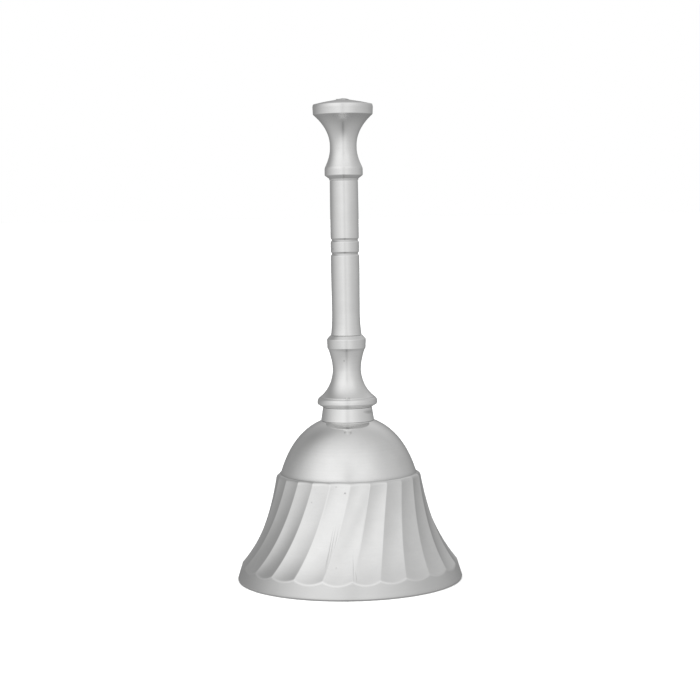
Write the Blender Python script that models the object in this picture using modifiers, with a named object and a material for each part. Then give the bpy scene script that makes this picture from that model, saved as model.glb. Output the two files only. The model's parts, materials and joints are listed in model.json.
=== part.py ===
"""A small cast hand bell with a turned handle and a clapper on a swivel.

The cup is a dome over a flared skirt with twisted flutes. A neck ferrule, a handle base,
a grip rod and a knob stand on it in a stack, all bored through and held together by one
threaded tie rod: its top is riveted over in the knob, and a cap nut under the crown pulls
it tight. The cap nut also holds the clapper: a headed eye turns in a hole in its floor,
and the clapper's shank hooks into the eye and swings there.

The origin is the centre of the rim's resting plane and +Z runs up the bell's axis.
Outlines are (radius, height) in millimetres, listed down the outside and up the inside.
"""

import math

import bmesh
import bpy
from mathutils import Matrix, Vector

MM = 0.001
MERGE = 0.00001          # metres, for every modifier that merges

# Driving dimensions, in millimetres
HEIGHT = 120.65          # rim plane to the top of the riveted tie rod
MOUTH_RADIUS = 28.4      # outside of the rim
CROWN = 40.15            # top of the cup, where the neck stands
SEAM = 0.1               # gap between stacked pieces
FIT = 0.3                # radial gap between a bore and what is in it
WIRE = 0.65              # radius of the clapper's eye and shank
PIVOT = 28.75            # height of the clapper's swing axis
SWING_TURN = math.radians(55)  # of the swing axis, from the bell's right
BALL_RADIUS = 5.0
BALL_CENTRE = 6.6        # leaves the ball clear of a table under the rim

# The cup
DOME_TOP = (6.75, CROWN)
DOME_PULL = (14.13, 37.04)
DOME_FOOT = (17.15, 26.9)
SHOULDER_PULL = (18.1, 26.85)
FLARE_TOP = (18.28, 25.9)
FLARE_PULL = (20.95, 10.4)
FLARE_END = (28.8, 2.75)
RIM_TOP = 4.5            # height of the flutes' points on the rim band
SCALLOP = 0.85           # how far each flute dips into the rim band
RIM_EDGE = 0.5           # rounding at the foot of the rim
LIP_RADIUS = 26.3        # inside of the resting face
CROWN_SEAT = (5.0, 38.5)  # flat under the crown, for the washer
FLUTES = 24
COLUMNS_PER_FLUTE = 3
FLUTE_DEPTH = 0.3        # radial, at the shoulder
FLUTE_PHASE = math.radians(-88.7)
FLUTE_TWIST = math.radians(-15.5)

# Heights up the handle
NECK_TOP = 43.55
NECK_RADII = (6.18, 6.68)
BASE_FLANGE = 7.55
BASE_WAIST = (3.54, 52.8)
BASE_TOP = 61.6
GRIP_TOP = 100.35
GRIP_RADIUS = 3.55
GROOVES = (85.5, 82.1)
GROOVE_DEPTH = 0.28
KNOB_WAIST = (3.34, 108.5)
KNOB_RADIUS = 7.53

# The tie rod and what hangs on it
ROD_RADIUS = 1.5
ROD_END = 35.7
RIVET_RADIUS = 1.9
WASHER_RADIUS = 4.2
WASHER_HEIGHT = 0.6
NUT_ACROSS_FLATS = 7.0
NUT_FOOT = 33.5
NUT_FLOOR = 1.0
EYE_RADIUS = 1.9         # centre line of the hanger's eye
HOOK_RADIUS = 1.65       # centre line of the shank's hook
HEAD_RADIUS = 1.45

TURN_STEPS = 24


def empty_the_scene():
    for obj in list(bpy.data.objects):
        bpy.data.objects.remove(obj, do_unlink=True)


def new_collection(name):
    collection = bpy.data.collections.new(name)
    bpy.context.scene.collection.children.link(collection)
    return collection


def metal(name, colour, roughness):
    material = bpy.data.materials.new(name)
    material.use_nodes = True
    shader = material.node_tree.nodes["Principled BSDF"]
    shader.inputs["Base Color"].default_value = (*colour, 1.0)
    shader.inputs["Metallic"].default_value = 1.0
    shader.inputs["Roughness"].default_value = roughness
    return material


def bow(start, pull, end, steps):
    """Points along a curve from start to end that leans towards pull, without its start."""
    points = []
    for i in range(1, steps + 1):
        t = i / steps
        points.append(tuple(
            (1 - t) ** 2 * a + 2 * t * (1 - t) * b + t * t * c
            for a, b, c in zip(start, pull, end)
        ))
    return points


def baked(obj):
    """The object's mesh with its modifiers applied."""
    bpy.context.view_layer.update()
    evaluated = obj.evaluated_get(bpy.context.evaluated_depsgraph_get())
    mesh = bpy.data.meshes.new_from_object(evaluated)
    mesh.name = obj.name
    return mesh


def finish_mesh(obj, material):
    obj.data.materials.clear()
    obj.data.materials.append(material)
    obj.data.shade_smooth()
    obj.data.set_sharp_from_angle(angle=math.radians(30))


def turned(name, outline, collection, steps=TURN_STEPS, closed=True):
    """A turned solid. A closed outline has a bore; an open one runs from axis to axis."""
    mesh = bpy.data.meshes.new(name)
    profile = bmesh.new()
    points = [profile.verts.new((r * MM, 0, z * MM)) for r, z in outline]
    for a, b in zip(points, points[1:]):
        profile.edges.new((a, b))
    if closed:
        profile.edges.new((points[-1], points[0]))
    profile.to_mesh(mesh)
    profile.free()
    obj = bpy.data.objects.new(name, mesh)
    collection.objects.link(obj)
    screw = obj.modifiers.new("Turn", "SCREW")
    screw.axis = "Z"
    screw.steps = steps
    screw.render_steps = steps
    screw.use_merge_vertices = True
    screw.merge_threshold = MERGE
    obj.data = baked(obj)
    obj.modifiers.clear()
    return obj


def boolean(obj, other, operation):
    modifier = obj.modifiers.new(operation.title(), "BOOLEAN")
    modifier.operation = operation
    modifier.solver = "EXACT"
    modifier.object = other


def as_guide(obj):
    obj.hide_render = True
    obj.display_type = "WIRE"


def flare_radius(height):
    """The ridges' radius at a height on the skirt, on the bow of its flare."""
    r0, z0 = FLARE_TOP
    r1, z1 = FLARE_PULL
    r2, z2 = FLARE_END
    a = z0 - 2 * z1 + z2
    b = 2 * (z1 - z0)
    c = z0 - height
    t = (-b - math.sqrt(b * b - 4 * a * c)) / (2 * a)
    return (1 - t) ** 2 * r0 + 2 * t * (1 - t) * r1 + t * t * r2


def band_radius(height):
    """The rim band, a slight cone from the flutes' points down to the rounded edge."""
    share = (RIM_TOP - height) / (RIM_TOP - RIM_EDGE)
    top = flare_radius(RIM_TOP)
    return top + (MOUTH_RADIUS - top) * share


def skirt_point(column, run):
    """Where a point of the fluted skirt lies: radius and height, for a column round the
    bell and a run from 0 at the shoulder to 1 at the rim band."""
    across = (column % COLUMNS_PER_FLUTE) / COLUMNS_PER_FLUTE
    hollow = 4 * across * (1 - across)
    foot = RIM_TOP - SCALLOP * hollow
    height = FLARE_TOP[1] + (foot - FLARE_TOP[1]) * run
    lowest = RIM_TOP - SCALLOP
    depth_at_foot = flare_radius(lowest) - band_radius(lowest)
    depth = FLUTE_DEPTH + (depth_at_foot - FLUTE_DEPTH) * run
    return flare_radius(height) - depth * hollow, height


def bell_cup(collection):
    skirt_steps = 8
    skirt = []
    for i in range(skirt_steps + 1):
        height = FLARE_TOP[1] + (RIM_TOP - FLARE_TOP[1]) * i / skirt_steps
        skirt.append((flare_radius(height), height))
    below_scallops = RIM_TOP - 1.5 * SCALLOP
    rim_curve = MOUTH_RADIUS - RIM_EDGE
    inside_shoulder = (16.3, 25.2)
    outline = [(ROD_RADIUS + FIT, CROWN), DOME_TOP]
    outline += bow(DOME_TOP, DOME_PULL, DOME_FOOT, 6)
    outline += bow(DOME_FOOT, SHOULDER_PULL, FLARE_TOP, 3)[:-1]
    outline += skirt
    outline.append((band_radius(below_scallops), below_scallops))
    outline.append((MOUTH_RADIUS, RIM_EDGE))
    outline += bow((MOUTH_RADIUS, RIM_EDGE), (MOUTH_RADIUS, 0), (rim_curve, 0), 2)
    outline += [(LIP_RADIUS, 0), (LIP_RADIUS - 0.3, 0.3)]
    outline += bow((LIP_RADIUS - 0.3, 0.3), (18.6, 10.5), inside_shoulder, 6)
    outline += bow(inside_shoulder, (13.6, 35.4), CROWN_SEAT, 5)
    outline.append((ROD_RADIUS + FIT, CROWN_SEAT[1]))
    columns = FLUTES * COLUMNS_PER_FLUTE
    cup = turned("bell_cup", outline, collection, steps=columns)
    flute(cup.data, skirt, columns)
    finish_mesh(cup, metal("cast_white_metal", (0.80, 0.80, 0.79), 0.24))
    return cup


def flute(mesh, skirt, columns):
    """Moves a turned cup's points onto twisted flutes. The whole wall turns with the
    twist, so that each column of points follows one flute down the skirt."""
    for vertex in mesh.vertices:
        x, y, z = vertex.co / MM
        radius = math.hypot(x, y)
        column = round(math.atan2(y, x) / math.tau * columns)
        run = (FLARE_TOP[1] - z) / (FLARE_TOP[1] - RIM_TOP)
        run = min(max(run, 0.0), 1.0)
        if any(abs(radius - r) < 0.01 and abs(z - h) < 0.01 for r, h in skirt):
            radius, z = skirt_point(column, run)
        angle = column / columns * math.tau + FLUTE_PHASE + FLUTE_TWIST * run
        vertex.co = Vector((radius * math.cos(angle), radius * math.sin(angle), z)) * MM


def neck_ferrule(collection):
    bore = ROD_RADIUS + FIT
    top, foot = NECK_RADII
    outline = [(bore, NECK_TOP), (top, NECK_TOP)]
    outline += bow((top, NECK_TOP), (6.38, 42.0), (foot, CROWN + SEAM), 4)
    outline.append((bore, CROWN + SEAM))
    ferrule = turned("neck_ferrule", outline, collection)
    finish_mesh(ferrule, metal("turned_white_metal_neck", (0.82, 0.82, 0.81), 0.22))


def handle_base(collection):
    bore = ROD_RADIUS + FIT
    foot = NECK_TOP + SEAM
    flange_top = (7.45, 45.65)
    collar_foot = (4.5, 57.95)
    outline = [(bore, BASE_TOP), (4.1, BASE_TOP), (4.9, 60.65), (4.8, 58.4), collar_foot]
    outline += bow(collar_foot, (3.51, 55.0), BASE_WAIST, 5)
    outline += bow(BASE_WAIST, (3.88, 48.45), flange_top, 7)
    outline += [(BASE_FLANGE, 45.35), (BASE_FLANGE, 44.6), (7.4, 44.25), (6.9, 44.0)]
    outline += [(6.2, foot), (bore, foot)]
    base = turned("handle_base", outline, collection)
    finish_mesh(base, metal("turned_white_metal_base", (0.80, 0.80, 0.79), 0.26))


def grip_rod(collection):
    bore = ROD_RADIUS + FIT
    foot = BASE_TOP + SEAM
    outline = [(bore, GRIP_TOP), (GRIP_RADIUS - 0.04, GRIP_TOP), (GRIP_RADIUS, 94.0)]
    for groove in GROOVES:
        outline.append((GRIP_RADIUS, groove + 0.5))
        outline.append((GRIP_RADIUS - GROOVE_DEPTH, groove + 0.12))
        outline.append((GRIP_RADIUS - GROOVE_DEPTH, groove - 0.12))
        outline.append((GRIP_RADIUS + 0.02, groove - 0.5))
    outline.append((GRIP_RADIUS + 0.03, 78.0))
    outline.append((GRIP_RADIUS - 0.06, 67.5))
    outline += bow((GRIP_RADIUS - 0.06, 67.5), (3.52, 63.9), (3.86, foot), 4)
    outline.append((bore, foot))
    grip = turned("grip_rod", outline, collection)
    finish_mesh(grip, metal("turned_white_metal_grip", (0.79, 0.79, 0.78), 0.27))


def handle_knob(collection):
    bore = ROD_RADIUS + FIT
    foot = GRIP_TOP + SEAM
    sink = RIVET_RADIUS + FIT
    band_foot = (7.2, 116.5)
    collar_top = (4.6, 103.75)
    outline = [(bore, 119.1), (sink, 120.3), (4.6, 119.82), (7.1, 119.3), (7.44, 119.05)]
    outline += [(KNOB_RADIUS, 118.5), (7.4, 116.75), band_foot]
    outline += bow(band_foot, (3.14, 112.8), KNOB_WAIST, 7)
    outline += bow(KNOB_WAIST, (3.29, 106.44), collar_top, 5)
    outline += [(4.75, 103.35), (4.76, 101.85), (4.66, 101.6), (3.7, 100.75)]
    outline += [(3.6, foot), (bore, foot)]
    knob = turned("handle_knob", outline, collection)
    finish_mesh(knob, metal("turned_white_metal_knob", (0.80, 0.80, 0.79), 0.25))


def tie_rod(collection):
    outline = [(0, HEIGHT), (1.1, HEIGHT - 0.1), (RIVET_RADIUS, 120.25)]
    outline += [(ROD_RADIUS, 119.2), (ROD_RADIUS, ROD_END), (0, ROD_END)]
    rod = turned("tie_rod", outline, collection, steps=16, closed=False)
    finish_mesh(rod, metal("bright_steel_rod", (0.62, 0.62, 0.62), 0.32))


def crown_washer(collection):
    top = CROWN_SEAT[1] - SEAM
    bore = ROD_RADIUS + FIT
    outline = [(bore, top), (WASHER_RADIUS, top)]
    outline += [(WASHER_RADIUS, top - WASHER_HEIGHT), (bore, top - WASHER_HEIGHT)]
    washer = turned("crown_washer", outline, collection)
    finish_mesh(washer, metal("zinc_washer", (0.66, 0.66, 0.65), 0.36))


def crown_nut(collection, cutters):
    """A hexagon cap nut: a threaded bore from above, and a hole in its floor."""
    top = CROWN_SEAT[1] - 2 * SEAM - WASHER_HEIGHT
    height = top - NUT_FOOT
    bpy.ops.mesh.primitive_cylinder_add(
        vertices=6,
        radius=NUT_ACROSS_FLATS / math.sqrt(3) * MM,
        depth=height * MM,
        location=(0, 0, (NUT_FOOT + height / 2) * MM),
    )
    nut = bpy.context.object
    nut.name = "crown_nut"
    nut.data.name = "crown_nut"
    for owner in list(nut.users_collection):
        owner.objects.unlink(nut)
    collection.objects.link(nut)
    past = 1.0
    bore = ROD_RADIUS + FIT
    hole = WIRE + FIT
    floor = NUT_FOOT + NUT_FLOOR
    outline = [(0, top + past), (bore, top + past), (bore, floor), (hole, floor)]
    outline += [(hole, NUT_FOOT - past), (0, NUT_FOOT - past)]
    cutter = turned("nut_bore", outline, cutters, steps=16, closed=False)
    as_guide(cutter)
    boolean(nut, cutter, "DIFFERENCE")
    nut.data.materials.clear()
    nut.data.materials.append(metal("zinc_nut", (0.64, 0.64, 0.63), 0.34))


def clapper_hanger(collection, axis, cutters):
    """A headed pin with an eye under it. The head sits in the nut, above its floor."""
    eye_centre = PIVOT + EYE_RADIUS
    head_foot = NUT_FOOT + NUT_FLOOR + 0.2
    outline = [(0, head_foot + 0.6), (HEAD_RADIUS, head_foot + 0.6)]
    outline += [(HEAD_RADIUS, head_foot), (WIRE - 0.05, head_foot)]
    outline += [(WIRE - 0.05, eye_centre + EYE_RADIUS - 0.1)]
    outline += [(0, eye_centre + EYE_RADIUS - 0.1)]
    pin = turned("hanger_pin", outline, cutters, steps=12, closed=False)
    as_guide(pin)
    bpy.ops.mesh.primitive_torus_add(
        major_segments=24,
        minor_segments=10,
        major_radius=EYE_RADIUS * MM,
        minor_radius=WIRE * MM,
        location=(0, 0, eye_centre * MM),
        rotation=(math.radians(90), 0, SWING_TURN),
    )
    hanger = bpy.context.object
    hanger.name = "clapper_hanger"
    hanger.data.name = "clapper_hanger"
    for owner in list(hanger.users_collection):
        owner.objects.unlink(hanger)
    collection.objects.link(hanger)
    boolean(hanger, pin, "UNION")
    finish_mesh(hanger, metal("steel_hanger", (0.58, 0.58, 0.58), 0.34))
    hang(hanger, axis)


def shank_route():
    """The shank's centre line: an open hook round the pivot, a bend under it, and a
    straight leg down into the ball. All in the plane across the swing axis."""
    points = []
    free_end = math.radians(-42)
    hook_foot = math.radians(225)
    turns = 14
    for i in range(turns + 1):
        angle = free_end + (hook_foot - free_end) * i / turns
        points.append((HOOK_RADIUS * math.cos(angle), HOOK_RADIUS * math.sin(angle)))
    bend = 1.2
    y, z = points[-1]
    slant = (-y - bend * (1 - math.cos(math.radians(45)))) / math.cos(math.radians(45))
    y += slant * math.cos(math.radians(45))
    z -= slant * math.sin(math.radians(45))
    for i in range(4):
        angle = math.radians(45) * (1 - i / 3)
        run = bend * (1 - math.cos(angle))
        fall = bend * (math.sin(math.radians(45)) - math.sin(angle))
        points.append((-run, z - fall))
    points.append((0, BALL_CENTRE + BALL_RADIUS - PIVOT))
    points.append((0, BALL_CENTRE + FIT - PIVOT))
    return points


def clapper_shank(collection, axis):
    curve = bpy.data.curves.new("clapper_shank", "CURVE")
    curve.dimensions = "3D"
    curve.bevel_depth = WIRE * MM
    curve.bevel_resolution = 2
    curve.use_fill_caps = True
    spline = curve.splines.new("POLY")
    route = shank_route()
    spline.points.add(len(route) - 1)
    for point, (y, z) in zip(spline.points, route):
        across = (-y * math.sin(SWING_TURN), y * math.cos(SWING_TURN), PIVOT + z)
        point.co = (*(c * MM for c in across), 1)
    shank = bpy.data.objects.new("clapper_shank", curve)
    collection.objects.link(shank)
    curve.materials.append(metal("steel_shank", (0.58, 0.58, 0.58), 0.34))
    hang(shank, axis)


def clapper_ball(collection, axis):
    """The ball, with a blind hole from its top for the shank."""
    hole = WIRE + FIT
    mouth = math.asin(hole / BALL_RADIUS)
    steps = 12
    outline = [(0, BALL_CENTRE), (hole, BALL_CENTRE)]
    for i in range(steps):
        angle = mouth + (math.pi - mouth) * i / steps
        radius = BALL_RADIUS * math.sin(angle)
        outline.append((radius, BALL_CENTRE + BALL_RADIUS * math.cos(angle)))
    outline.append((0, BALL_CENTRE - BALL_RADIUS))
    ball = turned("clapper_ball", outline, collection, closed=False)
    finish_mesh(ball, metal("cast_clapper", (0.70, 0.70, 0.69), 0.35))
    hang(ball, axis)


def pivot_empty(name, height, collection, parent=None):
    empty = bpy.data.objects.new(name, None)
    empty.empty_display_size = 0.01
    empty.matrix_world = Matrix.Translation((0, 0, height * MM))
    collection.objects.link(empty)
    if parent:
        hang(empty, parent)
    return empty


def hang(obj, parent):
    """Parents the object and leaves it where it is."""
    bpy.context.view_layer.update()
    obj.parent = parent
    obj.matrix_parent_inverse = parent.matrix_world.inverted()


def main():
    empty_the_scene()
    bell = new_collection("hand_bell")
    cutters = new_collection("cutters")
    bell_cup(bell)
    neck_ferrule(bell)
    handle_base(bell)
    grip_rod(bell)
    handle_knob(bell)
    tie_rod(bell)
    crown_washer(bell)
    crown_nut(bell, cutters)
    swivel = pivot_empty("hanger_swivel_axis", NUT_FOOT, bell)
    swing = pivot_empty("clapper_swing_axis", PIVOT, bell, swivel)
    clapper_hanger(bell, swivel, cutters)
    clapper_shank(bell, swing)
    clapper_ball(bell, swing)


main()
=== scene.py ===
import json
import math

import bmesh
import bpy
import numpy as np
from mathutils import Euler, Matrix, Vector, noise


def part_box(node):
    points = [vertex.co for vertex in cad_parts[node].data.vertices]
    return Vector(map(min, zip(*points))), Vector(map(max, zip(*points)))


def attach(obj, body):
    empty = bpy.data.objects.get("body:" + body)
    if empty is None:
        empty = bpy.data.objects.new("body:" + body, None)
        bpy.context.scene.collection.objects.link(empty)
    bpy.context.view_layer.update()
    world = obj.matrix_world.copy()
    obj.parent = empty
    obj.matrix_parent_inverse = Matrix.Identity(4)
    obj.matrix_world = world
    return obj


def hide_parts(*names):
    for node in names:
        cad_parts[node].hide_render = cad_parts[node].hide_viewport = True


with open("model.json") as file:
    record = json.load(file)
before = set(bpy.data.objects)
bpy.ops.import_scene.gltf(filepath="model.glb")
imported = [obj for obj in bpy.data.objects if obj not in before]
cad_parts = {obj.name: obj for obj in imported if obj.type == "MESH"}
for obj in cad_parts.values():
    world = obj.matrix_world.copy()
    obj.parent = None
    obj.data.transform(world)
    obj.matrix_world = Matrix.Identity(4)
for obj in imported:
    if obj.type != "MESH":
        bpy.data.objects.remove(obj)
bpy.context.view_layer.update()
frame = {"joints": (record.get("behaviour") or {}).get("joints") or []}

# The look of a small silver-coloured hand bell. Each CAD node is replaced by a finely
# turned or cast piece with the same outline: rounded edges, turning lines, flutes that run
# out into the rim band, a riveted rod end, a threaded nut, a forged hook. Outlines are
# (radius, height) in millimetres, down the outside and up the inside; a third number
# rounds that corner. Ends and widths come from the frame's boxes.

MM = 0.001

# The cup
DOME_PULL = (14.13, 37.04)
DOME_FOOT = (17.15, 26.9)
SHOULDER_PULL = (18.1, 26.85)
FLARE_TOP = (18.28, 25.9)
FLARE_PULL = (20.95, 10.4)
FLARE_END = (28.8, 2.75)
RIM_TOP = 4.5            # height of the flutes' points on the rim band
SCALLOP = 0.85           # how far each flute dips into the rim band
RIM_EDGE = 0.5
LIP_RADIUS = 26.3
FLUTES = 24
COLUMNS_PER_FLUTE = 16
FLUTE_DEPTH = 0.3
FLUTE_PHASE = math.radians(-88.7)
FLUTE_TWIST = math.radians(-15.5)

# The clapper
WIRE = 0.65
EYE_RADIUS = 1.9
HOOK_RADIUS = 1.65
THREAD_PITCH = 0.5
THREAD_DEPTH = 0.14

BORE = 1.8               # of every stacked piece, round the tie rod

# How dull and dark each finish is, from 0 where polished to 1 where left as cast; under the knob's
# band it is painted shade
RIM_DULLNESS = 0.5
PAINTED_SHADE_AND_DULLNESS = 0.6
AS_CAST = 1.0


def span(node):
    """A node's foot, top and outside radius, in millimetres."""
    low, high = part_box(node)
    return low.z / MM, high.z / MM, high.x / MM


def joint(name):
    """The frame's record of a joint."""
    return next(j for j in frame["joints"] if j["name"] == name)


_, CROWN, MOUTH_RADIUS = span("bell_cup")
PIVOT = joint("clapper_swing")["pos_m"][2] / MM
NUT_FOOT = joint("hanger_swivel")["pos_m"][2] / MM
SWING_AXIS = Vector(joint("clapper_swing")["axis"])    # level


# ---------------------------------------------------------------- outlines and meshes

def bow(start, pull, end, steps=8):
    """Points along a curve from start to end that leans towards pull, without its start."""
    points = []
    for i in range(1, steps + 1):
        t = i / steps
        points.append(tuple(
            (1 - t) ** 2 * a + 2 * t * (1 - t) * b + t * t * c
            for a, b, c in zip(start[:2], pull[:2], end[:2])
        ))
    return points


def towards(point, other, distance):
    """The point moved towards the other, by the distance but at most 45% of the way."""
    gap = math.dist(point[:2], other[:2])
    share = min(distance / gap, 0.45)
    return tuple(a + (b - a) * share for a, b in zip(point[:2], other[:2]))


def rounded(outline, closed):
    """The outline with a small arc at each corner that has a rounding."""
    points = []
    for i, point in enumerate(outline):
        at_end = not closed and i in (0, len(outline) - 1)
        if len(point) < 3 or at_end:
            points.append(tuple(point[:2]))
            continue
        start = towards(point, outline[i - 1], point[2])
        end = towards(point, outline[(i + 1) % len(outline)], point[2])
        points.append(start)
        points += bow(start, point, end, 5)
    return points


def subdivided(points, spacing, closed):
    """Long straight stretches cut up, apart from the bore, which stays plain."""
    result = []
    followers = points[1:] + points[:1] if closed else points[1:]
    for a, b in zip(points, followers):
        in_bore = closed and max(a[0], b[0]) <= BORE + 0.01
        pieces = 1 if in_bore else max(1, round(math.dist(a, b) / spacing))
        for i in range(pieces):
            result.append(tuple(p + (q - p) * i / pieces for p, q in zip(a, b)))
    if not closed:
        result.append(points[-1])
    return result


def turning_lines(points, depth, seed, closed):
    """Each ring moved in or out by a hair, as the tool leaves it."""
    profile = np.array(points)
    along = np.roll(profile, -1, axis=0) - np.roll(profile, 1, axis=0)
    if not closed:
        along[0] = profile[1] - profile[0]
        along[-1] = profile[-1] - profile[-2]
    length = np.linalg.norm(along, axis=1, keepdims=True)
    outward = np.stack([-along[:, 1], along[:, 0]], axis=1) / np.maximum(length, 1e-6)
    wander = np.random.default_rng(seed).normal(0, depth, len(points))
    wander = (np.roll(wander, 1) + 2 * wander + np.roll(wander, -1)) / 4
    wander[profile[:, 0] <= BORE + 0.01] = 0
    return profile + outward * wander[:, None]


def grid_mesh(name, surface, closed, dullness_and_painted_shade=None):
    """A mesh over points [ring, column, xyz] in millimetres, with masks of where it is worn bright
    (edge), where dirt settles (hollow) and where it is dull and darker: left as cast, or painted
    shade under the knob's band."""
    rings, columns, _ = surface.shape
    index = np.arange(rings * columns).reshape(rings, columns)
    upper = index if closed else index[:-1]
    lower = np.roll(index, -1, axis=0) if closed else index[1:]
    faces = np.stack(
        [upper, lower, np.roll(lower, -1, axis=1), np.roll(upper, -1, axis=1)], axis=-1
    )
    mesh = bpy.data.meshes.new(name)
    mesh.from_pydata((surface.reshape(-1, 3) * MM).tolist(), [], faces.reshape(-1, 4).tolist())
    bend = bending(surface)
    masks = {
        "edge": np.clip((bend - 0.8) / 4.0, 0, 1),
        "hollow": np.clip((-bend - 0.35) / 2.5, 0, 1),
        "dullness_and_painted_shade": np.zeros((rings, columns)) if dullness_and_painted_shade is None else dullness_and_painted_shade,
    }
    for mask, values in masks.items():
        layer = mesh.attributes.new(mask, "FLOAT", "POINT")
        layer.data.foreach_set("value", values.astype(np.float32).ravel())
    shape = bmesh.new()
    shape.from_mesh(mesh)
    bmesh.ops.remove_doubles(shape, verts=shape.verts, dist=1e-7)
    shape.to_mesh(mesh)
    shape.free()
    mesh.shade_smooth()
    return mesh


def bending(surface):
    """How sharply the surface bends out (above 0) or in (below 0), per millimetre."""
    across = np.roll(surface, -1, axis=1) - np.roll(surface, 1, axis=1)
    along = np.roll(surface, -1, axis=0) - np.roll(surface, 1, axis=0)
    normal = np.cross(along, across)
    normal /= np.maximum(np.linalg.norm(normal, axis=2, keepdims=True), 1e-9)
    total = np.zeros(surface.shape[:2])
    for axis in (0, 1):
        before = surface - np.roll(surface, 1, axis=axis)
        after = np.roll(surface, -1, axis=axis) - surface
        a = np.maximum(np.linalg.norm(before, axis=2, keepdims=True), 0.02)
        b = np.maximum(np.linalg.norm(after, axis=2, keepdims=True), 0.02)
        turn = (before / a - after / b) / ((a + b) / 2)
        total += (turn * normal).sum(axis=2)
    for _ in range(2):
        total = (np.roll(total, 1, 0) + 2 * total + np.roll(total, -1, 0)) / 4
        total = (np.roll(total, 1, 1) + 2 * total + np.roll(total, -1, 1)) / 4
    return total


def new_piece(name, data):
    piece = bpy.data.objects.new(name, data)
    bpy.context.scene.collection.objects.link(piece)
    return piece


def turned(name, outline, columns=160, spacing=0.25, closed=True, lines=0.003,
           reshape=None, painted_shade_span=None):
    """A turned piece. A closed outline has a bore; an open one runs from axis to axis. The painted
    shade span gives two heights between which the polish fades and the colour darkens, the upper
    one the dullest and darkest: painted shade under an overhang."""
    points = subdivided(rounded(outline, closed), spacing, closed)
    profile = turning_lines(points, lines, len(name), closed)
    angle = np.arange(columns) / columns * math.tau
    radius = profile[:, :1]
    surface = np.stack(np.broadcast_arrays(
        radius * np.cos(angle), radius * np.sin(angle), profile[:, 1:]
    ), axis=-1)
    if reshape:
        surface = reshape(surface.copy())
    dullness_and_painted_shade = None
    if painted_shade_span:
        low, high = painted_shade_span
        height = surface[..., 2]
        share = np.clip((height - low) / (high - low), 0, 1)
        dullness_and_painted_shade = np.where(height < high, share, 0) * PAINTED_SHADE_AND_DULLNESS
    return new_piece(name, grid_mesh(name, surface, closed, dullness_and_painted_shade))


def roughened(surface, depth, grain, where):
    """Points moved by noise, by up to depth millimetres, where the mask says."""
    flat = surface.reshape(-1, 3)
    push = np.array([noise.noise(Vector(p) / grain) for p in flat]).reshape(where.shape)
    centre = surface.mean(axis=(0, 1))
    outward = surface - centre
    outward /= np.maximum(np.linalg.norm(outward, axis=2, keepdims=True), 1e-6)
    return surface + outward * (push * where * depth)[..., None]


# ---------------------------------------------------------------- metals

def node(tree, kind, inputs=(), **settings):
    """A node with its settings made, and its inputs set or, for a socket, linked."""
    made = tree.nodes.new(kind)
    for name, value in settings.items():
        setattr(made, name, value)
    for name, value in dict(inputs).items():
        if isinstance(value, bpy.types.NodeSocket):
            tree.links.new(value, made.inputs[name])
        else:
            made.inputs[name].default_value = value
    return made


def calc(tree, operation, a, b=0.0, c=0.0):
    return node(tree, "ShaderNodeMath", {0: a, 1: b, 2: c}, operation=operation).outputs[0]


def from_range(tree, value, low, high, to_low, to_high):
    inputs = {"Value": value, "From Min": low, "From Max": high}
    inputs.update({"To Min": to_low, "To Max": to_high})
    return node(tree, "ShaderNodeMapRange", inputs).outputs["Result"]


def mask(tree, name):
    return node(tree, "ShaderNodeAttribute", attribute_name=name).outputs["Fac"]


def speckle(tree, where, scale, detail=3.0, roughness=0.55):
    inputs = {"Vector": where, "Scale": scale, "Detail": detail, "Roughness": roughness}
    return node(tree, "ShaderNodeTexNoise", inputs).outputs["Fac"]


def turned_place(tree, place):
    """Where a point is on the lathe: its radius and its height, the same all the way round."""
    parts = node(tree, "ShaderNodeSeparateXYZ", {"Vector": place}).outputs
    across = calc(tree, "MULTIPLY", parts["X"], parts["X"])
    squared = calc(tree, "MULTIPLY_ADD", parts["Y"], parts["Y"], across)
    radius = calc(tree, "SQRT", squared)
    inputs = {"X": radius, "Z": parts["Z"]}
    return node(tree, "ShaderNodeCombineXYZ", inputs).outputs["Vector"]


def blemishes(tree, place, marks):
    """Dark marks on the front, each (x, z, half width, half length, lean, strength) in
    millimetres and degrees: scratches, a pit, a smudge."""
    total = 0.0
    for x, z, half_width, half_length, lean, strength in marks:
        inputs = {"Vector": place, "Location": (x * MM, -0.02, z * MM)}
        inputs["Rotation"] = (0, math.radians(lean), 0)
        inputs["Scale"] = (half_width * MM, 0.04, half_length * MM)
        spot = node(tree, "ShaderNodeMapping", inputs, vector_type="TEXTURE").outputs[0]
        fade = node(
            tree, "ShaderNodeTexGradient", {"Vector": spot}, gradient_type="SPHERICAL"
        ).outputs["Fac"]
        total = calc(tree, "MULTIPLY_ADD", fade, strength, total)
    return total


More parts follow.
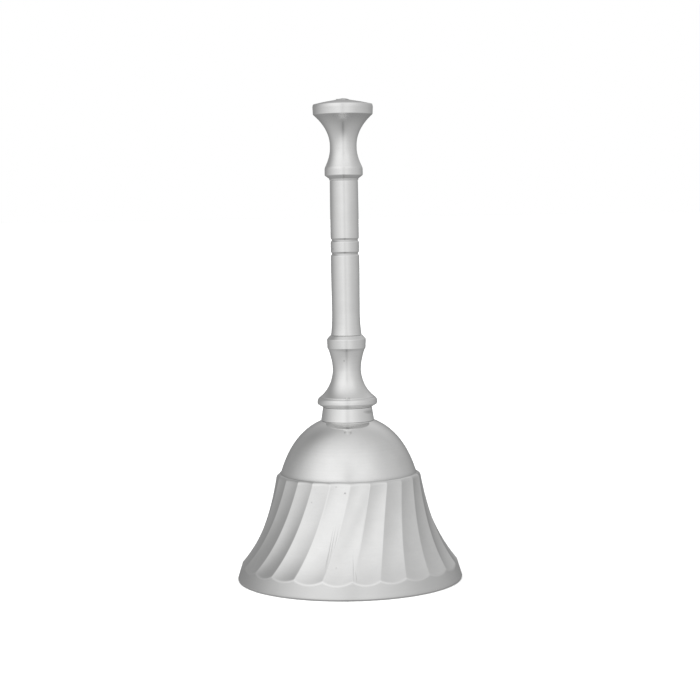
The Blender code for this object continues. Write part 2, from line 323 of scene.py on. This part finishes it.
def metal(name, tint, roughness, lines=0.3, grain=0.3, pits=0.5, tarnish=0.5, marks=()):
    """Polished white metal: faint turning lines, casting grain, a few pits, dirt in the hollows,
    bright worn edges, and darker dull places: left as cast, or painted shade under the knob's
    band."""
    material = bpy.data.materials.new(name)
    material.use_nodes = True
    tree = material.node_tree
    shader = tree.nodes["Principled BSDF"]
    shader.inputs["Metallic"].default_value = 1.0
    place = node(tree, "ShaderNodeTexCoord").outputs["Object"]
    lathe_place = turned_place(tree, place)

    cloud = speckle(tree, place, 260.0, 4.0)
    fine = speckle(tree, place, 2600.0, 3.0)
    tool = speckle(tree, lathe_place, 3300.0, 2.0, 0.7)
    cells = node(tree, "ShaderNodeTexVoronoi", {"Vector": place, "Scale": 330.0})
    chosen = node(tree, "ShaderNodeSeparateColor", {"Color": cells.outputs["Color"]}).outputs[0]
    rare = from_range(tree, chosen, 0.93 - 0.03 * pits, 1.0, 0.0, 1.0)
    near = from_range(tree, cells.outputs["Distance"], 0.04, 0.11, 1.0, 0.0)
    pit = calc(tree, "MULTIPLY", rare, near)

    edge = mask(tree, "edge")
    hollow = mask(tree, "hollow")
    dullness_and_painted_shade = mask(tree, "dullness_and_painted_shade")
    dirt_and_painted_shade = calc(tree, "MULTIPLY", hollow, from_range(tree, cloud, 0.3, 0.7, 0.5, 1.0))
    dirt_and_painted_shade = calc(tree, "MULTIPLY_ADD", pit, 0.6, calc(tree, "MULTIPLY", dirt_and_painted_shade, tarnish))
    # The dull mask darkens the colour: a cast finish on the cup, painted shade under the knob's
    # band.
    dirt_and_painted_shade = calc(tree, "MULTIPLY_ADD", dullness_and_painted_shade, 0.42, dirt_and_painted_shade)
    marked = blemishes(tree, place, marks)
    dirt_and_painted_shade = calc(tree, "ADD", dirt_and_painted_shade, marked)
    dirt_and_painted_shade = node(tree, "ShaderNodeClamp", {"Value": dirt_and_painted_shade}).outputs["Result"]

    shade = from_range(tree, cloud, 0.3, 0.7, 0.975, 1.02)
    shade = calc(tree, "MULTIPLY", shade, from_range(tree, tool, 0.3, 0.7, 0.985, 1.01))
    clean = node(tree, "ShaderNodeVectorMath", {0: (*tint,), "Scale": shade}, operation="SCALE")
    worn = node(
        tree, "ShaderNodeMix",
        {"Factor": calc(tree, "MULTIPLY", edge, 0.5), "A": clean.outputs[0], "B": (0.95,) * 3},
        data_type="VECTOR",
    ).outputs[1]
    dark_tint = tuple(c * 0.42 for c in tint)
    colour = node(
        tree, "ShaderNodeMix", {"Factor": dirt_and_painted_shade, "A": worn, "B": dark_tint}, data_type="VECTOR"
    ).outputs[1]
    tree.links.new(colour, shader.inputs["Base Color"])

    rough = from_range(tree, cloud, 0.3, 0.7, roughness * 0.75, roughness * 1.3)
    rough = calc(tree, "MULTIPLY_ADD", fine, roughness * 0.3, rough)
    rough = calc(tree, "MULTIPLY_ADD", dirt_and_painted_shade, 0.25, rough)
    rough = calc(tree, "MULTIPLY_ADD", dullness_and_painted_shade, 0.24, rough)
    tree.links.new(rough, shader.inputs["Roughness"])

    grain_depth = calc(tree, "MULTIPLY_ADD", dullness_and_painted_shade, 4.0, 1.0)
    height = calc(tree, "MULTIPLY", fine, calc(tree, "MULTIPLY", grain_depth, grain))
    height = calc(tree, "MULTIPLY_ADD", tool, lines, height)
    height = calc(tree, "MULTIPLY_ADD", pit, -6.0, height)
    height = calc(tree, "MULTIPLY_ADD", marked, -2.0, height)
    bump = node(tree, "ShaderNodeBump", {"Height": height, "Distance": 0.00001})
    tree.links.new(bump.outputs["Normal"], shader.inputs["Normal"])
    return material


def finish(piece, node_name, body, material):
    """Gives a piece its metal, and puts it in its CAD node's place."""
    piece.data.materials.append(material)
    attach(piece, body)
    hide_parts(node_name)


# ---------------------------------------------------------------- the cup

def flare_radius(height):
    """The ridges' radius at a height on the skirt, on the bow of its flare."""
    r0, z0 = FLARE_TOP
    r1, z1 = FLARE_PULL
    r2, z2 = FLARE_END
    a = z0 - 2 * z1 + z2
    b = 2 * (z1 - z0)
    c = z0 - height
    t = (-b - np.sqrt(b * b - 4 * a * c)) / (2 * a)
    return (1 - t) ** 2 * r0 + 2 * t * (1 - t) * r1 + t * t * r2


def band_radius(height):
    """The rim band, a slight cone from the flutes' points down to the rounded edge."""
    share = (RIM_TOP - height) / (RIM_TOP - RIM_EDGE)
    top = flare_radius(RIM_TOP)
    return top + (MOUTH_RADIUS - top) * share


def flute_columns():
    """How far each column is across its flute, from 0 to 1, closer together near the
    ridges, and how hollow the flute is there, with its ridge slightly rounded."""
    t = np.arange(COLUMNS_PER_FLUTE) / COLUMNS_PER_FLUTE
    across = t - 0.7 * np.sin(math.tau * t) / math.tau
    rounding = 0.012
    side = np.minimum(across, 1 - across)
    side = np.sqrt(side ** 2 + rounding ** 2)
    hollow = 4 * side * (1 - side)
    return across, hollow


def skirt_ring(run, hollow):
    """Radius and height of each column of the fluted skirt, for a run from 0 at the
    shoulder to 1 at the rim band."""
    foot = RIM_TOP - SCALLOP * hollow
    height = FLARE_TOP[1] + (foot - FLARE_TOP[1]) * run
    lowest = RIM_TOP - SCALLOP
    depth_at_foot = flare_radius(lowest) - band_radius(lowest)
    depth = FLUTE_DEPTH + (depth_at_foot - FLUTE_DEPTH) * run
    return flare_radius(height) - depth * hollow, height


def shoulder_rings(hollow, steps=14):
    """The rounded step under the dome, into which the flutes already cut."""
    rings = []
    for radius, height in bow(DOME_FOOT, SHOULDER_PULL, FLARE_TOP, steps)[:-1]:
        cut = (radius - DOME_FOOT[0]) / (FLARE_TOP[0] - DOME_FOOT[0])
        rings.append((radius - FLUTE_DEPTH * hollow * cut, np.full(hollow.shape, height)))
    return rings


def cup():
    """The cup's rings, each a radius and a height for every column round the bell."""
    across, hollow = flute_columns()
    by_hand = np.random.default_rng(24)
    hollow = (hollow * (1 + by_hand.normal(0, 0.07, (FLUTES, 1)))).ravel()
    ridges = np.arange(FLUTES) + by_hand.normal(0, 0.02, FLUTES)
    widths = np.roll(ridges, -1) - ridges
    widths[-1] += FLUTES
    angle = (ridges[:, None] + widths[:, None] * across).ravel() / FLUTES * math.tau
    angle += FLUTE_PHASE

    dome_top = (span("neck_ferrule")[2] + 0.07, CROWN)
    above = [(BORE, CROWN), dome_top]
    above += bow(dome_top, DOME_PULL, DOME_FOOT, 40)
    above.insert(-1, towards(DOME_FOOT, above[-2], 0.05))
    rings = [(np.full(hollow.shape, r), np.full(hollow.shape, z)) for r, z in above]
    rings += shoulder_rings(hollow)
    skirt_steps = 78
    rings += [skirt_ring(i / skirt_steps, hollow) for i in range(skirt_steps)]

    foot_radius, foot_height = skirt_ring(1.0, hollow)
    last_radius, last_height = skirt_ring(0.988, hollow)
    band_height = foot_height + (RIM_EDGE - foot_height) * 0.05
    for t in (0.0, 0.25, 0.5, 0.75, 1.0):
        before, at, after = (1 - t) ** 2, 2 * t * (1 - t), t * t
        radius = before * last_radius + at * foot_radius + after * band_radius(band_height)
        height = before * last_height + at * foot_height + after * band_height
        rings.append((radius, height))
    band_start = len(rings)
    for share in (0.15, 0.3, 0.45, 0.6, 0.75, 0.9):
        height = foot_height + (RIM_EDGE - foot_height) * share
        rings.append((band_radius(height), height))

    edge = (MOUTH_RADIUS, RIM_EDGE)
    below = [edge]
    below += bow(edge, (MOUTH_RADIUS, 0), (MOUTH_RADIUS - RIM_EDGE, 0), 6)
    below.append((27.1, 0))
    inside = len(rings) + len(below)
    below.append((LIP_RADIUS, 0))
    lip = (LIP_RADIUS - 0.3, 0.3)
    below += bow((LIP_RADIUS, 0), (LIP_RADIUS - 0.1, 0.05), lip, 3)
    inside_shoulder = (16.3, 25.2)
    crown_seat = (5.0, 38.5)
    below += bow(lip, (18.6, 10.5), inside_shoulder, 40)
    below += bow(inside_shoulder, (13.6, 35.4), crown_seat, 26)
    below += [(4.2, 38.5), (BORE, 38.5)]
    rings += [(np.full(hollow.shape, r), np.full(hollow.shape, z)) for r, z in below]

    radius = np.array([r for r, _ in rings])
    height = np.array([z for _, z in rings])
    run = np.clip((FLARE_TOP[1] - height) / (FLARE_TOP[1] - RIM_TOP), 0, 1)
    turn = angle[None, :] + FLUTE_TWIST * run
    surface = np.stack([radius * np.cos(turn), radius * np.sin(turn), height], axis=-1)
    dullness_and_painted_shade = np.zeros(radius.shape)
    dullness_and_painted_shade[band_start:inside] = RIM_DULLNESS
    dullness_and_painted_shade[inside:] = AS_CAST
    piece = new_piece("cup_casting", grid_mesh("cup_casting", surface, True, dullness_and_painted_shade))
    scratches = [(-4.9, 11.2, 0.16, 5.6, 12, 0.5), (-4.1, 12.6, 0.14, 4.4, 12, 0.45)]
    scratches += [(-3.2, 13.6, 0.12, 3.2, 13, 0.4), (-5.6, 8.8, 0.12, 2.4, 14, 0.4)]
    scratches += [(0.8, 7.2, 0.14, 3.6, 0, 0.45), (1.5, 5.4, 0.12, 1.5, -8, 0.4)]
    pits = [(-0.9, 24.4, 0.35, 0.3, 0, 0.9)]
    material = metal(
        "cast_white_metal", (0.88, 0.88, 0.875), 0.065, 0.15, 0.3, 1.0,
        marks=scratches + pits,
    )
    finish(piece, "bell_cup", "bell", material)


# ---------------------------------------------------------------- neck and handle

def neck():
    foot, top, radius = span("neck_ferrule")
    foot -= 0.05
    top_radius = radius - 0.5
    outline = [(BORE, top), (top_radius, top, 0.05)]
    outline += bow((top_radius, top), (top_radius + 0.2, top - 1.55), (radius, foot + 0.06), 14)
    outline += [(radius, foot, 0.03), (BORE, foot)]
    piece = turned("neck_sleeve", outline, lines=0.0015)
    smudge = (5.3, 42.5, 1.7, 0.6, 10, 0.9)
    material = metal("neck_metal", (0.89, 0.89, 0.885), 0.05, marks=[smudge])
    finish(piece, "neck_ferrule", "bell", material)


def base():
    """The foot of the handle: a collar with a chamfered top, a waist, and a flange whose
    rounded edge is set off by a fine cut line."""
    foot, top, flange = span("handle_base")
    waist = (3.54, 52.8)
    collar_foot = (4.5, 57.95)
    cut_line = (6.9, 46.12)
    flange_face = (flange - 0.05, 45.25)
    outline = [(BORE, top), (4.1, top, 0.05), (4.9, top - 0.95, 0.07), (4.81, 58.45, 0.05)]
    outline.append(collar_foot)
    outline += bow(collar_foot, (3.51, 55.0), waist, 14)
    outline += bow(waist, (3.88, 48.45), cut_line, 20)
    outline.append((cut_line[0] - 0.04, cut_line[1] - 0.12, 0.03))
    outline.append((cut_line[0] + 0.1, cut_line[1] - 0.1, 0.03))
    outline += bow(outline[-1], (7.4, 45.75), flange_face, 8)
    outline += [(flange, 44.62, 0.05), (flange - 0.15, 44.3, 0.1)]
    outline += [(6.9, 44.02, 0.1), (6.2, foot - 0.04, 0.03), (BORE, foot - 0.04)]
    piece = turned("base_turning", outline, lines=0.0015)
    nicks = [(-0.65, 55.4, 0.3, 0.4, 0, 0.8), (0.1, 45.9, 0.9, 0.3, 0, 0.5)]
    material = metal("base_metal", (0.88, 0.88, 0.875), 0.065, marks=nicks)
    finish(piece, "handle_base", "bell", material)


def groove(height, radius, depth):
    return [
        (radius, height + 0.5, 0.06), (radius - depth, height + 0.12, 0.06),
        (radius - depth, height - 0.12, 0.06), (radius + 0.02, height - 0.5, 0.06),
    ]


def grip():
    foot, top, _ = span("grip_rod")
    foot -= 0.04
    radius = 3.55
    outline = [(BORE, top), (radius - 0.04, top, 0.04), (radius, 94.0)]
    for height in (85.5, 82.1):
        outline += groove(height, radius, 0.28)
    outline += [(radius + 0.03, 78.0), (radius - 0.06, 67.5)]
    outline += bow((radius - 0.06, 67.5), (3.52, 63.9), (3.86, foot), 12)
    outline += [(BORE, foot)]
    piece = turned("grip_turning", outline, lines=0.0015)
    material = metal("grip_metal", (0.87, 0.87, 0.865), 0.065)
    finish(piece, "grip_rod", "bell", material)


def knob():
    foot, top, radius = span("handle_knob")
    foot -= 0.04
    waist = (3.34, 108.5)
    band_foot = (7.2, 116.5)
    collar_top = (4.6, 103.75)
    outline = [(BORE, 119.1), (2.1, top - 0.05, 0.05), (4.6, top - 0.48), (7.32, top - 1.06, 0.06)]
    outline += [(7.44, 119.05, 0.05), (radius, 118.5), (radius - 0.09, 116.72, 0.05)]
    outline += [band_foot]
    outline += bow(band_foot, (3.14, 112.8), waist, 24)
    outline += bow(waist, (3.29, 106.44), collar_top, 14)
    outline += [(4.75, 103.35, 0.3), (4.77, 101.75, 0.04), (4.7, 101.58, 0.04)]
    outline += [(3.66, 100.8, 0.04), (3.6, foot, 0.03), (BORE, foot)]
    # Painted shade: under the band the colour is darkened and the polish dulled, most of all right
    # under its edge.
    painted_shade_span = (113.5, 116.6)
    piece = turned("knob_turning", outline, columns=192, lines=0.0015, painted_shade_span=painted_shade_span)
    material = metal("knob_metal", (0.88, 0.88, 0.875), 0.065)
    finish(piece, "handle_knob", "bell", material)


# ---------------------------------------------------------------- the rod and the clapper

def threaded(surface, low, high, depth=THREAD_DEPTH):
    """A screw thread cut into a turned surface between two heights."""
    radius = np.hypot(surface[..., 0], surface[..., 1])
    height = surface[..., 2]
    angle = np.arctan2(surface[..., 1], surface[..., 0])
    phase = (height / THREAD_PITCH + angle / math.tau) % 1.0
    cut = 1 - np.abs(2 * phase - 1)
    ends = np.clip((height - low) / 0.4, 0, 1) * np.clip((high - height) / 0.4, 0, 1)
    shrink = 1 - depth * cut * ends / np.maximum(radius, 0.3)
    surface[..., :2] *= shrink[..., None]
    return surface


def tie_rod():
    foot, top, head = span("tie_rod")
    shank = 1.5

    def riveted(surface):
        surface = threaded(surface, foot + 0.2, foot + 5.5)
        where = np.clip((surface[..., 2] - (top - 0.9)) / 0.5, 0, 1)
        return roughened(surface, 0.16, 0.55, where)

    outline = [(0, top - 0.04), (0.9, top - 0.1), (1.7, top - 0.26, 0.2)]
    outline.append((head + 0.05, top - 0.5, 0.1))
    outline += [(shank, top - 1.3), (shank, foot + 0.25, 0.05), (shank - 0.25, foot), (0, foot)]
    piece = turned("riveted_rod", outline, 64, 0.07, closed=False, reshape=riveted)
    dents = [(1.1, top - 0.25, 0.7, 0.35, 0, 1.4), (-0.2, top - 0.1, 0.35, 0.3, 0, 0.6)]
    material = metal("rod_steel", (0.74, 0.74, 0.735), 0.3, 0.3, 0.8, marks=dents)
    finish(piece, "tie_rod", "bell", material)


def washer():
    foot, top, radius = span("crown_washer")
    bore = BORE + 0.05
    outline = [(bore, top), (radius, top, 0.05), (radius, foot, 0.2), (bore, foot, 0.1)]
    piece = turned("stamped_washer", outline, 128, 0.2)
    material = metal("washer_zinc", (0.72, 0.73, 0.74), 0.34, 0.5, 0.8)
    finish(piece, "crown_washer", "bell", material)


def cap_nut():
    """A hexagon with chamfered corners: the lathe's circle is cut back to the flats."""
    foot, top, _ = span("crown_nut")
    flats = 7.0
    corner = flats / math.sqrt(3)
    floor = foot + 1.0
    hole = WIRE + 0.3

    def hexagonal(surface):
        radius = np.hypot(surface[..., 0], surface[..., 1])
        angle = np.arctan2(surface[..., 1], surface[..., 0])
        flat = flats / 2 / np.cos((angle + math.pi / 6) % (math.pi / 3) - math.pi / 6)
        cut = np.minimum(radius, flat) / np.maximum(radius, 1e-6)
        surface[..., :2] *= np.where(radius > BORE + 0.2, cut, 1.0)[..., None]
        return surface

    outline = [(BORE, top), (3.3, top), (corner, top - 0.42), (corner, foot + 0.42), (3.3, foot)]
    outline += [(hole + 0.15, foot), (hole, foot + 0.15), (hole, floor), (BORE, floor)]
    piece = turned("cap_nut", outline, 192, 0.15, reshape=hexagonal)
    piece.data.set_sharp_from_angle(angle=math.radians(35))
    material = metal("nut_zinc", (0.7, 0.71, 0.72), 0.32, 0.4, 0.8)
    finish(piece, "crown_nut", "bell", material)


def wire_piece(name, route, radius, cyclic=False):
    """A round wire along a route of (x, y, z) points in millimetres."""
    curve = bpy.data.curves.new(name, "CURVE")
    curve.dimensions = "3D"
    curve.bevel_depth = radius * MM
    curve.bevel_resolution = 6
    curve.use_fill_caps = True
    spline = curve.splines.new("POLY")
    spline.points.add(len(route) - 1)
    for point, place in zip(spline.points, route):
        point.co = (*(c * MM for c in place), 1)
    spline.use_cyclic_u = cyclic
    guide = new_piece(name + "_guide", curve)
    bpy.context.view_layer.update()
    evaluated = guide.evaluated_get(bpy.context.evaluated_depsgraph_get())
    mesh = bpy.data.meshes.new_from_object(evaluated)
    bpy.data.objects.remove(guide)
    shape = bmesh.new()
    shape.from_mesh(mesh)
    bmesh.ops.remove_doubles(shape, verts=shape.verts, dist=1e-7)
    shape.to_mesh(mesh)
    shape.free()
    mesh.shade_smooth()
    mesh.set_sharp_from_angle(angle=math.radians(50))
    return new_piece(name, mesh)


def joined(piece, other):
    """The piece and the other made one solid; the other is used up."""
    modifier = piece.modifiers.new("Join", "BOOLEAN")
    modifier.operation = "UNION"
    modifier.solver = "EXACT"
    modifier.object = other
    bpy.context.view_layer.update()
    evaluated = piece.evaluated_get(bpy.context.evaluated_depsgraph_get())
    piece.data = bpy.data.meshes.new_from_object(evaluated)
    piece.modifiers.clear()
    bpy.data.objects.remove(other)
    piece.data.shade_smooth()
    piece.data.set_sharp_from_angle(angle=math.radians(40))


def hanger():
    """A headed pin that flares into an eye of the same wire."""
    _, top, _ = span("clapper_hanger")
    eye_centre = PIVOT + EYE_RADIUS
    ring = []
    turns = 72
    for i in range(turns):
        angle = math.tau * i / turns
        x, y, _ = SWING_AXIS * EYE_RADIUS * math.cos(angle)
        ring.append((x, y, eye_centre + EYE_RADIUS * math.sin(angle)))
    eye = wire_piece("swivel_eye", ring, WIRE, cyclic=True)
    pin = WIRE - 0.05
    outline = [(0, top), (1.05, top), (1.45, top - 0.12, 0.1), (1.45, top - 0.6, 0.08)]
    outline += [(pin, top - 0.6, 0.1), (pin, NUT_FOOT - 0.25)]
    outline += bow((pin, NUT_FOOT - 0.25), (pin, NUT_FOOT - 0.6), (pin + 0.3, NUT_FOOT - 0.95), 6)
    outline += [(0.5, eye_centre + EYE_RADIUS - 0.15), (0, eye_centre + EYE_RADIUS - 0.15)]
    head = turned("swivel_pin", outline, 64, 0.1, closed=False)
    joined(eye, head)
    material = metal("hanger_steel", (0.66, 0.66, 0.66), 0.3, 0.4, 0.8)
    finish(eye, "clapper_hanger", "hanger", material)


def shank_route(ball_centre):
    """The shank's centre line: an open hook round the pivot, a bend under it, and a
    straight leg down into the ball. All in the plane across the swing axis."""
    points = []
    free_end = math.radians(-42)
    hook_foot = math.radians(225)
    turns = 56
    for i in range(turns + 1):
        angle = free_end + (hook_foot - free_end) * i / turns
        points.append((HOOK_RADIUS * math.cos(angle), HOOK_RADIUS * math.sin(angle)))
    bend = 1.2
    slope = math.radians(45)
    y, z = points[-1]
    slant = (-y - bend * (1 - math.cos(slope))) / math.cos(slope)
    y += slant * math.cos(slope)
    z -= slant * math.sin(slope)
    steps = 12
    for i in range(steps + 1):
        angle = slope * (1 - i / steps)
        run = bend * (1 - math.cos(angle))
        fall = bend * (math.sin(slope) - math.sin(angle))
        points.append((-run, z - fall))
    low = ball_centre + 0.3 - PIVOT
    start = points[-1][1]
    legs = 40
    for i in range(1, legs + 1):
        points.append((0, start + (low - start) * i / legs))
    return [(-y * SWING_AXIS.y, y * SWING_AXIS.x, PIVOT + z) for y, z in points]


def shank(ball_centre):
    piece = wire_piece("hooked_shank", shank_route(ball_centre), WIRE)
    material = metal("shank_steel", (0.66, 0.66, 0.66), 0.3, 0.4, 0.8)
    finish(piece, "clapper_shank", "clapper", material)


def ball(centre, radius):
    """A cast ball with a countersunk hole for the shank and a faint casting seam."""
    hole = WIRE + 0.12

    def seamed(surface):
        x = surface[..., 0]
        ridge = 0.05 * np.exp(-(x / 0.12) ** 2)
        offset = surface - np.array([0, 0, centre])
        length = np.maximum(np.linalg.norm(offset, axis=2), 1e-6)
        outside = length > radius - 0.4
        surface += offset * (ridge * outside / length)[..., None]
        return roughened(surface, 0.03, 1.4, outside * 1.0)

    mouth = math.asin((hole + 0.35) / radius)
    steps = 60
    outline = [(0, centre + 1.0), (hole, centre + 1.0)]
    outline += [(hole, centre + math.sqrt(radius ** 2 - (hole + 0.35) ** 2) - 0.3)]
    for i in range(steps):
        angle = mouth + (math.pi - mouth) * i / steps
        outline.append((radius * math.sin(angle), centre + radius * math.cos(angle)))
    outline.append((0, centre - radius))
    piece = turned("striking_ball", outline, 144, 0.3, closed=False, lines=0.001, reshape=seamed)
    material = metal("ball_metal", (0.76, 0.76, 0.755), 0.3, 0.1, 1.2, 1.5)
    finish(piece, "clapper_ball", "clapper", material)


# ---------------------------------------------------------------- studio

# The soft boxes of a light tent, as azimuth (0 at the camera, + to the right), elevation,
# tightness and brightness. A negative one is a black card that takes light away. There is
# a dim upright gap where the camera looks in.
SOFT_BOXES = [
    (60, 25, 0.6, 0.56),
    (-45, 35, 3.0, 0.47),
    (0, -5, 4.0, 0.28),
    (-90, -25, 1.7, 0.24),
    (35, 38, 12.0, 0.13),
    (160, 35, 10.0, 0.15),
    (180, 42, 9.0, 0.13),
    (0, 88, 8.0, 0.07),
    (-125, 50, 12.0, -0.13),
    (-122, 15, 12.0, -0.03),
    (165, -5, 8.0, -0.06),
    (-165, -5, 8.0, -0.03),
    (0, -50, 16.0, -0.08),
]
AMBIENT = 0.02
GAP_TIGHTNESS = 60.0
GAP_DIMMING = -0.11
GAP_FADE = (0.4, 0.75)   # of the direction's height, where the gap ends

LAMP_STRENGTH = 2.6
LAMP_SPREAD = math.radians(70)
LAMP_TILT = (math.radians(12), math.radians(-10), 0)
FLOOR_SIZE = 40.0
FLOOR_TONE = 0.93

CAMERA_PLACE = (0.00087, -0.4399, 0.0927)
CAMERA_PITCH = math.radians(4.53)
CAMERA_ROLL = math.radians(0.92)
LENS = 90.2


def lobe(tree, direction, centre, tightness, brightness, total):
    """The total plus a soft light round the centre direction."""
    facing = node(
        tree, "ShaderNodeVectorMath", {0: direction, 1: centre}, operation="DOT_PRODUCT"
    ).outputs["Value"]
    fall = calc(tree, "MULTIPLY", calc(tree, "SUBTRACT", facing, 1.0), tightness)
    return calc(tree, "MULTIPLY_ADD", calc(tree, "EXPONENT", fall), brightness, total)


def tent_light(tree):
    """How bright the tent is in each direction."""
    direction = node(tree, "ShaderNodeTexCoord").outputs["Generated"]
    total = AMBIENT
    for azimuth, elevation, tightness, brightness in SOFT_BOXES:
        a, e = math.radians(azimuth), math.radians(elevation)
        centre = (math.sin(a) * math.cos(e), -math.cos(a) * math.cos(e), math.sin(e))
        total = lobe(tree, direction, centre, tightness, brightness, total)
    flat = node(
        tree, "ShaderNodeVectorMath", {0: direction, 1: (1, 1, 0)}, operation="MULTIPLY"
    ).outputs[0]
    level = node(tree, "ShaderNodeVectorMath", {0: flat}, operation="NORMALIZE").outputs[0]
    height = node(tree, "ShaderNodeSeparateXYZ", {"Vector": direction}).outputs["Z"]
    dimming = from_range(tree, height, *GAP_FADE, GAP_DIMMING, 0.0)
    return lobe(tree, level, (0, -1, 0), GAP_TIGHTNESS, dimming, total)


def studio():
    """A pale floor under soft light. The metal mirrors a tent of soft boxes."""
    scene = bpy.context.scene
    scene.view_settings.view_transform = "Standard"
    world = bpy.data.worlds.new("light_tent")
    scene.world = world
    world.use_nodes = True
    tree = world.node_tree
    tree.nodes.clear()
    white = (1, 1, 1, 1)
    tent = node(tree, "ShaderNodeBackground", {"Color": white, "Strength": tent_light(tree)})
    backdrop = node(tree, "ShaderNodeBackground", {"Color": white, "Strength": 1.0})
    direct = node(tree, "ShaderNodeLightPath").outputs["Is Camera Ray"]
    shown = node(
        tree, "ShaderNodeMixShader",
        {0: direct, 1: tent.outputs[0], 2: backdrop.outputs[0]},
    )
    out = node(tree, "ShaderNodeOutputWorld")
    tree.links.new(shown.outputs[0], out.inputs["Surface"])

    lamp = bpy.data.lights.new("overhead", "SUN")
    lamp.energy = LAMP_STRENGTH
    lamp.angle = LAMP_SPREAD
    overhead = bpy.data.objects.new("overhead", lamp)
    overhead.rotation_euler = Euler(LAMP_TILT)
    overhead.visible_glossy = False
    scene.collection.objects.link(overhead)
    floor()


def floor():
    """Pale paper, a hair under the rim."""
    bpy.ops.mesh.primitive_plane_add(size=FLOOR_SIZE, location=(0, 0, -0.00002))
    ground = bpy.context.object
    ground.name = "floor"
    ground.visible_glossy = False
    paper = bpy.data.materials.new("pale_paper")
    paper.use_nodes = True
    tree = paper.node_tree
    shader = tree.nodes["Principled BSDF"]
    shader.inputs["Roughness"].default_value = 0.9
    shader.inputs["Specular IOR Level"].default_value = 0.0
    shader.inputs["Base Color"].default_value = (FLOOR_TONE, FLOOR_TONE, FLOOR_TONE, 1)
    ground.data.materials.append(paper)


def camera():
    lens = bpy.data.cameras.new("camera")
    lens.lens = LENS
    lens.sensor_width = 36.0
    lens.clip_start = 0.01
    lens.clip_end = 100.0
    view = bpy.data.objects.new("camera", lens)
    view.location = CAMERA_PLACE
    aim = Vector((0, math.cos(CAMERA_PITCH), -math.sin(CAMERA_PITCH)))
    turn = aim.to_track_quat("-Z", "Y").to_matrix().to_4x4()
    roll = Euler((0, 0, -CAMERA_ROLL)).to_matrix().to_4x4()
    view.rotation_euler = (turn @ roll).to_euler()
    bpy.context.scene.collection.objects.link(view)
    bpy.context.scene.camera = view


def main():
    camera()
    studio()
    cup()
    neck()
    base()
    grip()
    knob()
    tie_rod()
    washer()
    cap_nut()
    hanger()
    foot, top, radius = span("clapper_ball")
    centre = foot + radius
    shank(centre)
    ball(centre, radius)


main()
bpy.context.view_layer.update()
